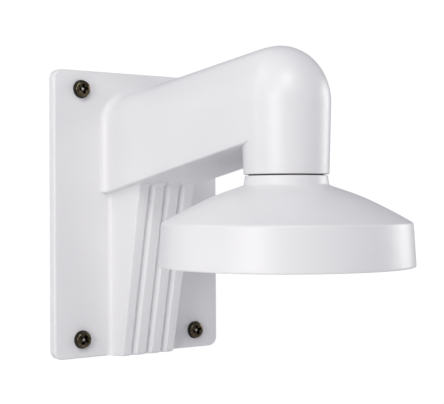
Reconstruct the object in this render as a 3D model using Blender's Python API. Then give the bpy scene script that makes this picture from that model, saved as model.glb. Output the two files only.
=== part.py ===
# Wall bracket for a dome security camera: a die-cast arm on a rectangular wall flange, with a dished
# cap that screws into the socket at the end of the arm and carries the camera.
# Metres, +Z up, wall plane at y = 0, arm reaching towards -Y, symmetric about x = 0.
import math

import bmesh
import bpy
from mathutils import Matrix, Vector

MM = 0.001
GAP = 0.3 * MM

# Wall flange
FLANGE_WIDTH = 124.0 * MM
FLANGE_HEIGHT = 182.4 * MM
FLANGE_DEPTH = 6.5 * MM
FLANGE_CORNER = 6.0 * MM
FLANGE_EDGE = 1.6 * MM
FLANGE_RIM = 3.2 * MM
RECESS_DEPTH = 3.3 * MM

# Corner screws and their nuts
SCREW_X = 43.0 * MM
SCREW_Z = 79.2 * MM
SCREW_SHANK = 2.4 * MM
SCREW_HEAD = 5.3 * MM
SCREW_HEAD_HEIGHT = 3.1 * MM
WASHER_RADIUS = 5.8 * MM
WASHER_THICK = 0.9 * MM
NUT_RADIUS = 3.8 * MM

# Arm and elbow
REACH = 159.0 * MM
ARM_ROOT_HALF = 25.8 * MM
ARM_FLOOR_ROOT = 14.1 * MM
ARM_FLOOR_SLOPE = 0.176
SHOULDER_ROOT = 57.2 * MM
SHOULDER_ELBOW = 61.3 * MM
CROWN_ROOT = 78.6 * MM
CROWN_SLOPE = 0.103
CROWN_STRAIGHT = 142.0 * MM
CROWN_PEAK = 152.0 * MM
ELBOW_RADIUS = 24.4 * MM
ROOT_FILLET = 4.0 * MM
WALL = 3.0 * MM

# Socket at the end of the arm
MOUTH_Z = 22.6 * MM
MOUTH_RADIUS = 23.3 * MM
CAVITY_FLOOR_Z = 43.0 * MM

# Pipe thread between socket and cap
THREAD_PITCH = 2.5 * MM
THREAD_MINOR = 18.4 * MM
THREAD_MAJOR = 19.3 * MM
THREAD_START = 24.2 * MM
THREAD_STEPS = 20
CABLE_BORE = 15.0 * MM

# Gusset under the arm
GUSSET_ROOT_HALF = 21.6 * MM
GUSSET_TOP_HALF = 20.8 * MM
GUSSET_BOTTOM_HALF = 19.5 * MM
GUSSET_FRONT = 36.3 * MM
GUSSET_SLOPE = 0.2125
GROOVE_PITCH = 11.2 * MM
GROOVE_HALF = 2.35 * MM
GROOVE_DEPTH = 2.6 * MM

# Cap
COLLAR_TOP = 21.6 * MM
NECK_TOP = 40.0 * MM
CAP_RIM_Z = -27.0 * MM
CAP_RADIUS = 70.0 * MM
CAP_STEPS = 44
PLATE_TOP_Z = -12.0 * MM
PLATE_THICK = 1.5 * MM
BOSS_RING = 52.0 * MM
HOOK_R = 19.9 * MM

# Rear cable hole and lock screw
CABLE_Z = 46.0 * MM
LOCK_Z = 31.0 * MM


def clearScene():
    for obj in list(bpy.data.objects):
        bpy.data.objects.remove(obj, do_unlink=True)


def makeMaterial(name, color, roughness, metallic):
    material = bpy.data.materials.new(name)
    material.use_nodes = True
    shader = material.node_tree.nodes["Principled BSDF"]
    shader.inputs["Base Color"].default_value = (*color, 1.0)
    shader.inputs["Roughness"].default_value = roughness
    shader.inputs["Metallic"].default_value = metallic
    material.diffuse_color = (*color, 1.0)
    return material


def makeObject(name, bm, material=None):
    bmesh.ops.remove_doubles(bm, verts=bm.verts, dist=1e-6)
    bmesh.ops.recalc_face_normals(bm, faces=bm.faces)
    mesh = bpy.data.meshes.new(name)
    bm.to_mesh(mesh)
    bm.free()
    obj = bpy.data.objects.new(name, mesh)
    bpy.context.scene.collection.objects.link(obj)
    if material:
        mesh.materials.append(material)
    return obj


def combine(target, other, operation):
    modifier = target.modifiers.new("Boolean", "BOOLEAN")
    modifier.operation = operation
    modifier.solver = "EXACT"
    modifier.object = other
    graph = bpy.context.evaluated_depsgraph_get()
    mesh = bpy.data.meshes.new_from_object(target.evaluated_get(graph))
    target.modifiers.clear()
    # Weld slivers well under the smallest feature, so every cut leaves a closed shell
    bm = bmesh.new()
    bm.from_mesh(mesh)
    bmesh.ops.remove_doubles(bm, verts=bm.verts, dist=1.5e-5)
    bmesh.ops.dissolve_degenerate(bm, edges=bm.edges, dist=2e-6)
    bm.to_mesh(mesh)
    bm.free()
    old = target.data
    target.data = mesh
    mesh.name = old.name
    bpy.data.meshes.remove(old)
    bpy.data.objects.remove(other, do_unlink=True)


def shade(obj, degrees=32.0):
    obj.data.shade_smooth()
    obj.data.set_sharp_from_angle(angle=math.radians(degrees))


def box(low, high):
    bm = bmesh.new()
    bmesh.ops.create_cube(bm, size=1.0)
    low = Vector(low)
    high = Vector(high)
    for vert in bm.verts:
        vert.co = Vector(low[i] + (vert.co[i] + 0.5) * (high[i] - low[i]) for i in range(3))
    return bm


def panel(width, height, corner, back, front, edge=0.0, steps=5):
    # Rounded rectangle in the XZ plane from y = -back to y = -front, with an optional rounded front edge.
    bm = box((-width / 2, -front, -height / 2), (width / 2, -back, height / 2))
    upright = [e for e in bm.edges if abs(e.verts[0].co.y - e.verts[1].co.y) > 1e-7]
    bmesh.ops.bevel(bm, geom=upright, offset=corner, segments=steps, profile=0.5, affect="EDGES")
    if edge:
        rim = [e for e in bm.edges if all(abs(v.co.y + front) < 1e-7 for v in e.verts)]
        bmesh.ops.bevel(bm, geom=rim, offset=edge, segments=3, profile=0.5, affect="EDGES")
    return bm


def turned(points, steps, closed=True):
    # Spins an outline of (radius, height) pairs about the Z axis.
    bm = bmesh.new()
    verts = [bm.verts.new((radius, 0.0, height)) for radius, height in points]
    edges = [bm.edges.new(pair) for pair in zip(verts, verts[1:])]
    if closed:
        edges.append(bm.edges.new((verts[-1], verts[0])))
    bmesh.ops.spin(
        bm,
        geom=verts + edges,
        cent=(0, 0, 0),
        axis=(0, 0, 1),
        angle=2 * math.pi,
        steps=steps,
        use_merge=True,
    )
    bmesh.ops.remove_doubles(bm, verts=bm.verts, dist=1e-6)
    bmesh.ops.dissolve_degenerate(bm, edges=bm.edges, dist=1e-7)
    return bm


def rod(radius, low, high, steps):
    return turned([(0, low), (radius, low), (radius, high), (0, high)], steps, closed=False)


def place(bm, position, turn=None):
    matrix = Matrix.Translation(position)
    if turn:
        matrix = matrix @ turn
    bmesh.ops.transform(bm, matrix=matrix, verts=bm.verts)
    return bm


def outwardTurn():
    # Turns a piece built along +Z so that it points out of the flange, towards -Y.
    return Matrix.Rotation(math.radians(90), 4, "X")


def loft(rings):
    bm = bmesh.new()
    rows = [[bm.verts.new(point) for point in ring] for ring in rings]
    for upper, lower in zip(rows, rows[1:]):
        for i in range(len(upper)):
            j = (i + 1) % len(upper)
            bm.faces.new((upper[i], upper[j], lower[j], lower[i]))
    bm.faces.new(rows[0][::-1])
    bm.faces.new(rows[-1])
    return bm


def mix(a, b, t):
    return a + (b - a) * t


def armShare(y):
    return min(max((-y - 8 * MM) / (REACH - 8 * MM), 0.0), 1.0)


def armHalf(y):
    return mix(ARM_ROOT_HALF, ELBOW_RADIUS, armShare(y))


def armFloor(y):
    return ARM_FLOOR_ROOT + ARM_FLOOR_SLOPE * (-y - 10 * MM)


def armShoulder(y):
    return mix(SHOULDER_ROOT, SHOULDER_ELBOW, armShare(y))


def socketRadius(z):
    return mix(MOUTH_RADIUS, ELBOW_RADIUS, (z - MOUTH_Z) / (SHOULDER_ELBOW - MOUTH_Z))


def armCrown(y, inset):
    # Height of the arm's top line: straight, easing to a peak behind the socket, then a quarter ellipse.
    reach = -y
    straight = CROWN_ROOT + CROWN_SLOPE * (CROWN_STRAIGHT - 8 * MM)
    ease = CROWN_PEAK - CROWN_STRAIGHT
    peak = straight + CROWN_SLOPE * ease / 2
    if reach < CROWN_STRAIGHT:
        return CROWN_ROOT + CROWN_SLOPE * (reach - 8 * MM) - inset
    if reach < CROWN_PEAK:
        into = reach - CROWN_STRAIGHT
        return straight + CROWN_SLOPE * (into - into * into / (2 * ease)) - inset
    share = min((reach - CROWN_PEAK) / (REACH + ELBOW_RADIUS - inset - CROWN_PEAK), 1.0)
    return SHOULDER_ELBOW + (peak - inset - SHOULDER_ELBOW) * (1 - share ** 2.1) ** (1 / 2.1)


def armForm(inset, stations, mouthZ, topSteps, sideSteps):
    # The arm, elbow and socket as one closed skin. Each station is (y, flare).
    bm = bmesh.new()
    rows = []
    for y, flare in stations:
        half = armHalf(y) - inset + flare
        low = armFloor(y) + inset
        foot = mix(ARM_ROOT_HALF, socketRadius(armFloor(-REACH)), armShare(y)) - inset + flare
        shoulder = armShoulder(y)
        rise = armCrown(y, inset) + flare - shoulder
        ring = [bm.verts.new((foot, y, low))]
        for i in range(topSteps + 1):
            angle = math.pi * i / topSteps
            ring.append(bm.verts.new((half * math.cos(angle), y, shoulder + rise * math.sin(angle))))
        ring.append(bm.verts.new((-foot, y, low)))
        rows.append(ring)
    for one, two in zip(rows, rows[1:]):
        for a, b, c, d in zip(one, one[1:], two[1:], two):
            bm.faces.new((a, b, c, d))
    bm.faces.new(rows[0])

    # Front half of the elbow: sections shrink to a point at the front of the shoulder line.
    last = rows[-1]
    previous = last[1:-1]
    radius = ELBOW_RADIUS - inset
    right = [previous[0]]
    left = [previous[-1]]
    for k in range(1, sideSteps):
        turn = math.pi / 2 * k / sideSteps
        y = -REACH - radius * math.sin(turn)
        half = radius * math.cos(turn)
        rise = armCrown(y, inset) - SHOULDER_ELBOW
        ring = []
        for i in range(topSteps + 1):
            angle = math.pi * i / topSteps
            point = (half * math.cos(angle), y, SHOULDER_ELBOW + rise * math.sin(angle))
            ring.append(bm.verts.new(point))
        for a, b, c, d in zip(previous, previous[1:], ring[1:], ring):
            bm.faces.new((a, b, c, d))
        previous = ring
        right.append(ring[0])
        left.append(ring[-1])
    nose = bm.verts.new((0.0, -REACH - radius, SHOULDER_ELBOW))
    for a, b in zip(previous, previous[1:]):
        bm.faces.new((a, b, nose))

    # Front half of the socket, from the shoulder line down to the mouth.
    mouthR = socketRadius(mouthZ) - inset
    tops = right + [nose] + left[::-1]
    count = len(tops) - 1
    frontFeet = []
    for k in range(count + 1):
        turn = math.pi * k / count
        foot = (mouthR * math.cos(turn), -REACH - mouthR * math.sin(turn), mouthZ)
        frontFeet.append(bm.verts.new(foot))
    for k in range(count):
        face = [tops[k], tops[k + 1], frontFeet[k + 1], frontFeet[k]]
        if k == 0:
            face.append(last[0])
        if k == count - 1:
            face.insert(2, last[-1])
        bm.faces.new(face)

    # Back half of the socket, below the arm's floor.
    backTops = [last[0]]
    backFeet = [frontFeet[0]]
    for k in range(1, count):
        turn = math.pi * k / count
        floorR = socketRadius(armFloor(-REACH)) - inset
        y = -REACH + floorR * math.sin(turn)
        backTops.append(bm.verts.new((floorR * math.cos(turn), y, armFloor(y) + inset)))
        foot = (mouthR * math.cos(turn), -REACH + mouthR * math.sin(turn), mouthZ)
        backFeet.append(bm.verts.new(foot))
    backTops.append(last[-1])
    backFeet.append(frontFeet[-1])
    for k in range(count):
        bm.faces.new((backTops[k], backTops[k + 1], backFeet[k + 1], backFeet[k]))

    # Flat underside of the arm and the mouth's disc.
    floor = [row[0] for row in rows] + backTops[1:-1] + [row[-1] for row in rows[::-1]]
    bm.faces.new(floor)
    bm.faces.new(frontFeet + backFeet[1:-1][::-1])
    bmesh.ops.triangulate(bm, faces=[f for f in bm.faces if len(f.verts) > 4])
    return bm


def rootFlare(depth, radius):
    # Sideways spread of a fillet at a depth above the surface that it lands on.
    if depth >= radius:
        return 0.0
    return radius - math.sqrt(radius * radius - (radius - depth) ** 2)


def gussetFront(z):
    return GUSSET_FRONT + GUSSET_SLOPE * z


def gussetForm():
    # Sections across the gusset, from its foot up into the arm, with three grooves down the front.
    rings = []
    under = armFloor(-gussetFront(18 * MM))
    levels = [(-91.0 * MM, 0.0, 1.0), (-50.0 * MM, 0.0, 1.0), (under - 7.0 * MM, 0.0, 1.0)]
    for drop, out, deep in ((4.6, 0.4, 0.95), (2.6, 1.5, 0.8), (1.1, 3.2, 0.5), (0.25, 5.2, 0.2)):
        levels.append((under - drop * MM, out * MM, deep))
    levels.append((under + 4.0 * MM, 7.0 * MM, 0.0))
    for z, out, deep in levels:
        share = min(max((z + 91.0 * MM) / (110.0 * MM), 0.0), 1.0)
        front = gussetFront(z) + out
        tip = mix(GUSSET_BOTTOM_HALF, GUSSET_TOP_HALF, share) + out * 0.35
        corner = 1.8 * MM
        side = []
        for depth in (-1.2, 0.12, 0.7, 1.6, 3.0):
            spread = rootFlare(max(depth, 0.0) * MM, 3.0 * MM)
            if depth < 0:
                spread = 3.0 * MM
            side.append((GUSSET_ROOT_HALF + spread, FLANGE_DEPTH + depth * MM))
        for turn in (0.0, 30.0, 60.0, 90.0):
            a = math.radians(turn)
            side.append((tip - corner + corner * math.cos(a), front - corner + corner * math.sin(a)))
        face = []
        for centre in (GROOVE_PITCH, 0.0, -GROOVE_PITCH):
            for i in range(6):
                angle = math.pi * i / 5
                x = centre + GROOVE_HALF * math.cos(angle)
                face.append((x, front - GROOVE_DEPTH * deep * math.sin(angle) ** 0.8))
        outline = side + face + [(-x, depth) for x, depth in side[::-1]]
        rings.append([(x, -depth, z) for x, depth in outline])
    return loft(rings)


def threadedRod(minor, major, pitch, low, high, start, turns, profile, steps):
    # A rod from low to high with a right-hand ridge. The profile holds (share of pitch, height share).
    bm = bmesh.new()
    columns = len(profile)
    fade = steps // 3
    rows = []
    for i in range(steps * (turns + 1) + 1):
        angle = 2 * math.pi * i / steps
        base = start + pitch * i / steps
        ridge = min(i / fade, (steps * turns - i) / fade, 1.0)
        shown = profile if i <= steps * turns else profile[:1]
        row = []
        for share, height in shown:
            radius = minor + (major - minor) * height * max(ridge, 0.0)
            z = base + share * pitch
            row.append(bm.verts.new((radius * math.cos(angle), radius * math.sin(angle), z)))
        rows.append(row)
    for i in range(steps * turns + 1):
        rows[i].append(rows[i + steps][0])
    for i in range(steps * turns):
        for k in range(columns):
            bm.faces.new((rows[i][k], rows[i + 1][k], rows[i + 1][k + 1], rows[i][k + 1]))

    def ringAt(z):
        ring = []
        for j in range(steps):
            angle = 2 * math.pi * j / steps
            ring.append(bm.verts.new((minor * math.cos(angle), minor * math.sin(angle), z)))
        return ring

    bottom = ringAt(low)
    for j in range(steps - 1):
        bm.faces.new((bottom[j], bottom[j + 1], rows[j + 1][0], rows[j][0]))
    bm.faces.new([bottom[-1], bottom[0]] + rows[0] + [rows[steps - 1][0]])
    bm.faces.new(bottom[::-1])

    top = ringAt(high)
    first = steps * turns
    ends = rows[first]
    bm.faces.new([ends[0], rows[first + 1][0], top[1], top[0]] + ends[:0:-1])
    for j in range(1, steps):
        pair = (rows[first + j][0], rows[first + j + 1][0])
        bm.faces.new((pair[0], pair[1], top[(j + 1) % steps], top[j]))
    bm.faces.new(top)
    return bm


def corners():
    return [(sx * SCREW_X, sz * SCREW_Z) for sx in (-1, 1) for sz in (1, -1)]


def crossRecess(radius, depth, width):
    # Tapered cross for a screw head, opening upwards at z = 0.
    bm = bmesh.new()
    rings = []
    for z, reach, half in ((0.4 * MM, radius * 1.08, width * 1.1), (-depth, radius * 0.35, width * 0.6)):
        ring = []
        for quarter in range(4):
            turn = Matrix.Rotation(math.pi / 2 * quarter, 3, "Z")
            for point in ((reach, -half, z), (reach, half, z), (half, half, z)):
                ring.append(turn @ Vector(point))
        rings.append(ring)
    bm.free()
    return loft(rings)


def panScrew(name, head, height, shank, length, recess, steps, material):
    # A pan-head screw with its seat at z = 0, its head above and its shank below.
    outline = [(0.0, height)]
    for turn in (62, 30, 0):
        a = math.radians(turn)
        outline.append((head * (0.45 + 0.55 * math.cos(a)), height * (0.38 + 0.62 * math.sin(a))))
    outline += [(head * 0.985, 0.0), (shank, 0.0), (shank, -length + 0.5 * MM)]
    outline += [(shank - 0.5 * MM, -length), (0.0, -length)]
    screw = makeObject(name, turned(outline, steps, closed=False), material)
    cutter = makeObject("cutter", place(crossRecess(*recess), (0, 0, height)))
    combine(screw, cutter, "DIFFERENCE")
    return screw


def spread(source, places):
    # Puts one object sharing the source's mesh at each named place, then drops the source.
    for name, matrix in places.items():
        obj = bpy.data.objects.new(name, source.data)
        bpy.context.scene.collection.objects.link(obj)
        obj.matrix_world = matrix
    bpy.data.objects.remove(source, do_unlink=True)


def buildBracket(material):
    obj = makeObject("bracket", panel(
        FLANGE_WIDTH, FLANGE_HEIGHT, FLANGE_CORNER, 0.0, FLANGE_DEPTH, FLANGE_EDGE), material)

    stations = [(-(FLANGE_DEPTH - 1.0 * MM), ROOT_FILLET)]
    for depth in (0.15, 0.9, 2.1, 4.0):
        stations.append((-(FLANGE_DEPTH + depth * MM), rootFlare(depth * MM, ROOT_FILLET)))
    for reach in (45, 80, 115, 130, 142, 147, 151, 155, 159):
        stations.append((-reach * MM, 0.0))
    arm = makeObject("arm", armForm(0.0, stations, MOUTH_Z, 16, 8))
    combine(obj, arm, "UNION")
    combine(obj, makeObject("gusset", gussetForm()), "UNION")

    # Hollow arm, open through the back of the flange
    inner = [(2.0 * MM, 0.0), (-60 * MM, 0.0)]
    for reach in (118, 133, 147, 159):
        inner.append((-reach * MM, 0.0))
    cavity = makeObject("cavity", armForm(WALL, inner, CAVITY_FLOOR_Z - 2.0 * MM, 10, 5))
    combine(obj, cavity, "DIFFERENCE")

    # Hollow gusset behind its grooved front
    rings = []
    for z in (-87.5 * MM, 9.0 * MM):
        depth = gussetFront(z) - GROOVE_DEPTH - WALL
        half = 17.2 * MM
        rings.append([(half, 2 * MM, z), (-half, 2 * MM, z), (-half, -depth, z), (half, -depth, z)])
    combine(obj, makeObject("hollow", loft(rings)), "DIFFERENCE")

    # Recess for the rear plate, with pads left round the screw holes
    recess = makeObject("recess", panel(
        FLANGE_WIDTH - 2 * FLANGE_RIM, FLANGE_HEIGHT - 2 * FLANGE_RIM, 3.5 * MM, -1.0 * MM,
        RECESS_DEPTH, 0.0, 4))
    for x, z in corners():
        pad = rod(5.0 * MM, 2.6 * MM, 8.0 * MM, 20)
        combine(recess, makeObject("pad", place(pad, (x, 0, z), outwardTurn())), "DIFFERENCE")
    combine(obj, recess, "DIFFERENCE")

    for x, z in corners():
        hole = rod(SCREW_SHANK + 0.4 * MM, -2 * MM, 12 * MM, 20)
        combine(obj, makeObject("hole", place(hole, (x, 0, z), outwardTurn())), "DIFFERENCE")

    # Threaded socket
    profile = [(0.13, 0.0), (0.36, 1.0), (0.74, 1.0), (0.97, 0.0)]
    tap = threadedRod(THREAD_MINOR + 0.5 * MM, THREAD_MAJOR + 0.55 * MM, THREAD_PITCH, 18.5 * MM,
                      CAVITY_FLOOR_Z, THREAD_START - 2 * THREAD_PITCH, 8, profile, THREAD_STEPS)
    combine(obj, makeObject("tap", place(tap, (0, -REACH, 0))), "DIFFERENCE")

    # Cross hole for the lock screw
    side = Matrix.Rotation(math.radians(90), 4, "Y")
    hole = rod(2.3 * MM, 17.0 * MM, 27.0 * MM, 16)
    combine(obj, makeObject("lockHole", place(hole, (0, -REACH, LOCK_Z), side)), "DIFFERENCE")
    shade(obj)
    return obj


def buildRearPlate(material):
    width = FLANGE_WIDTH - 2 * FLANGE_RIM - 2 * 3.6 * MM
    height = FLANGE_HEIGHT - 2 * FLANGE_RIM - 2 * 3.6 * MM
    obj = makeObject("rear_plate", panel(width, height, 3.0 * MM, 0.0, 2.0 * MM, 0.0, 4), material)
    for x, z in corners():
        hole = rod(NUT_RADIUS + GAP, -2 * MM, 6 * MM, 14)
        combine(obj, makeObject("hole", place(hole, (x, 0, z), outwardTurn())), "DIFFERENCE")
    hole = rod(16.0 * MM, -2 * MM, 6 * MM, 24)
    combine(obj, makeObject("hole", place(hole, (0, 0, CABLE_Z), outwardTurn())), "DIFFERENCE")
    # Countersunk holes for the wall fixings
    for x in (-44 * MM, 44 * MM):
        for z in (-45 * MM, 45 * MM):
            sink = [(0, -1 * MM), (2.75 * MM, -1 * MM), (2.75 * MM, 0.6 * MM), (4.65 * MM, 2.5 * MM)]
            sink.append((0, 2.5 * MM))
            cone = place(turned(sink, 12, closed=False), (x, 0, z), outwardTurn())
            combine(obj, makeObject("sink", cone), "DIFFERENCE")
    return obj


def buildFlangeGasket(material):
    width = FLANGE_WIDTH - 2 * FLANGE_RIM - 2 * GAP
    height = FLANGE_HEIGHT - 2 * FLANGE_RIM - 2 * GAP
    front = RECESS_DEPTH - GAP
    obj = makeObject("flange_gasket", panel(width, height, 3.2 * MM, 0.0, front, 0.0, 4), material)
    thick = 2 * (3.6 * MM - 2 * GAP)
    inner = panel(width - thick, height - thick, 3.3 * MM, -1 * MM, front + 1 * MM, 0.0, 4)
    combine(obj, makeObject("inner", inner), "DIFFERENCE")
    return obj


def buildGrommet(material):
    # U-section rubber ring in the rear plate's cable hole, flush with the wall side
    outline = [(12.2, 0.0), (15.7, 0.0), (15.7, 2.3), (18.0, 2.3), (18.0, 3.6), (17.0, 4.4), (12.6, 4.4),
               (12.2, 4.0)]
    ring = turned([(r * MM, h * MM) for r, h in outline], 24)
    obj = makeObject("cable_grommet", place(ring, (0, 0, CABLE_Z), outwardTurn()), material)
    shade(obj)
    return obj


def buildCap(material):
    outer = [(0, COLLAR_TOP), (22.1 * MM, COLLAR_TOP), (22.5 * MM, COLLAR_TOP - 0.4 * MM),
             (22.85 * MM, 18.8 * MM), (23.4 * MM, 16.7 * MM)]
    for r, z in ((27.5, 15.3), (32.3, 13.7), (41.0, 10.4), (49.7, 6.3), (58.4, 1.8), (65.4, -2.1),
                 (67.2, -3.9), (67.75, -5.9), (69.9, -25.8), (69.0, -27.0), (67.0, -27.0), (65.2, -9.0),
                 (63.4, -5.2), (57.0, -1.4), (48.4, 3.1), (31.5, 10.3), (25.0, 12.4), (0.0, 12.4)):
        outer.append((r * MM, z * MM))
    obj = makeObject("cap", turned(outer, CAP_STEPS, closed=False), material)

    # Radial ribs under the cone
    for k in range(6):
        rib = box((18.0 * MM, -1.2 * MM, -7.5 * MM), (65.8 * MM, 1.2 * MM, 2.0 * MM))
        top = [v for v in rib.verts if v.co.z > 0]
        for vert in top:
            vert.co.z = 14.0 * MM if vert.co.x < 30 * MM else -3.2 * MM
        for vert in rib.verts:
            if vert.co.z < -5 * MM and vert.co.x < 30 * MM:
                vert.co.z = 4.0 * MM
        turn = Matrix.Rotation(math.radians(60 * k + 30), 4, "Z")
        combine(obj, makeObject("rib", place(rib, (0, 0, 0), turn)), "UNION")
    # Bosses for the camera plate
    for k in range(3):
        a = math.radians(120 * k + 90)
        x = BOSS_RING * math.cos(a)
        y = BOSS_RING * math.sin(a)
        boss = place(rod(4.6 * MM, PLATE_TOP_Z + GAP, 0.0, 18), (x, y, 0))
        for vert in boss.verts:
            if vert.co.z > -1 * MM:
                vert.co.z = 2.9 * MM - 0.52 * (vert.co.xy.length - BOSS_RING)
        combine(obj, makeObject("boss", boss), "UNION")
        hole = rod(2.2 * MM, PLATE_TOP_Z - 2 * MM, 0.5 * MM, 14)
        combine(obj, makeObject("hole", place(hole, (x, y, 0))), "DIFFERENCE")

    # Threaded neck with its seal groove and cable bore
    groove = turned([(18.0 * MM, 20.1 * MM), (21.3 * MM, 20.1 * MM), (21.3 * MM, 24 * MM),
                     (18.0 * MM, 24 * MM)], 48)
    combine(obj, makeObject("groove", groove), "DIFFERENCE")
    profile = [(0.25, 0.0), (0.48, 1.0), (0.62, 1.0), (0.85, 0.0)]
    neck = threadedRod(THREAD_MINOR, THREAD_MAJOR, THREAD_PITCH, 16.0 * MM, NECK_TOP, THREAD_START, 5,
                       profile, THREAD_STEPS)
    combine(obj, makeObject("neck", neck), "UNION")
    bore = turned([(0, 8 * MM), (CABLE_BORE + 1 * MM, 8 * MM), (CABLE_BORE + 1 * MM, 11.9 * MM),
                   (CABLE_BORE, 13.4 * MM), (CABLE_BORE, NECK_TOP - 1.4 * MM),
                   (CABLE_BORE + 1.5 * MM, NECK_TOP + 0.1 * MM), (CABLE_BORE + 1.5 * MM, 44 * MM),
                   (0, 44 * MM)], 24, closed=False)
    combine(obj, makeObject("bore", bore), "DIFFERENCE")
    hole = rod(2.0 * MM, 8 * MM, 18.2 * MM, 14)
    combine(obj, makeObject("hookHole", place(hole, (HOOK_R, 0, 0))), "DIFFERENCE")
    shade(obj)
    return obj


def buildNeckSeal(material):
    outline = []
    for k in range(6):
        a = 2 * math.pi * k / 6
        outline.append((20.05 * MM + 0.95 * MM * math.cos(a), 21.35 * MM + 0.95 * MM * math.sin(a)))
    obj = makeObject("neck_seal", turned(outline, 32), material)
    shade(obj, 60)
    return obj


def buildCameraPlate(material):
    low = PLATE_TOP_Z - PLATE_THICK
    obj = makeObject("camera_plate", turned([(30 * MM, low), (63.6 * MM, low), (63.6 * MM, PLATE_TOP_Z),
                                             (30 * MM, PLATE_TOP_Z)], CAP_STEPS), material)
    for k in range(3):
        a = math.radians(120 * k + 90)
        hole = rod(2.3 * MM, low - 2 * MM, PLATE_TOP_Z + 2 * MM, 14)
        spot = (BOSS_RING * math.cos(a), BOSS_RING * math.sin(a), 0)
        combine(obj, makeObject("hole", place(hole, spot)), "DIFFERENCE")
    # Curved slots that take camera bases of several sizes
    for k in range(3):
        for radius in (38.0 * MM, 47.5 * MM):
            rings = []
            for z in (low - 2 * MM, PLATE_TOP_Z + 2 * MM):
                ring = []
                for i in range(5):
                    a = math.radians(120 * k + 12 + 36 * i / 4)
                    ring.append(((radius + 2.1 * MM) * math.cos(a), (radius + 2.1 * MM) * math.sin(a), z))
                for i in range(4, -1, -1):
                    a = math.radians(120 * k + 12 + 36 * i / 4)
                    ring.append(((radius - 2.1 * MM) * math.cos(a), (radius - 2.1 * MM) * math.sin(a), z))
                rings.append(ring)
            combine(obj, makeObject("slot", loft(rings)), "DIFFERENCE")
    return obj


def buildCameraSeal(material):
    high = PLATE_TOP_Z - PLATE_THICK - GAP
    outline = [(58.2 * MM, high - 2.6 * MM), (63.4 * MM, high - 2.6 * MM), (63.4 * MM, high),
               (58.2 * MM, high)]
    return makeObject("camera_seal", turned(outline, CAP_STEPS), material)


def buildHook(material):
    # Bent strip with an eye, screwed beside the cable bore
    top = 12.4 * MM - GAP
    bm = box((16.8 * MM, -5 * MM, top - 1.5 * MM), (24.6 * MM, 5 * MM, top))
    obj = makeObject("lanyard_hook", bm, material)
    leg = box((23.1 * MM, -5 * MM, -9 * MM), (24.6 * MM, 5 * MM, top - 0.5 * MM))
    combine(obj, makeObject("leg", leg), "UNION")
    hole = rod(2.2 * MM, 5 * MM, 20 * MM, 14)
    combine(obj, makeObject("hole", place(hole, (HOOK_R, 0, 0))), "DIFFERENCE")
    eye = rod(2.6 * MM, 20 * MM, 30 * MM, 16)
    side = Matrix.Rotation(math.radians(90), 4, "Y")
    combine(obj, makeObject("eye", place(eye, (0, 0, -4.0 * MM), side)), "DIFFERENCE")
    return obj


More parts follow.
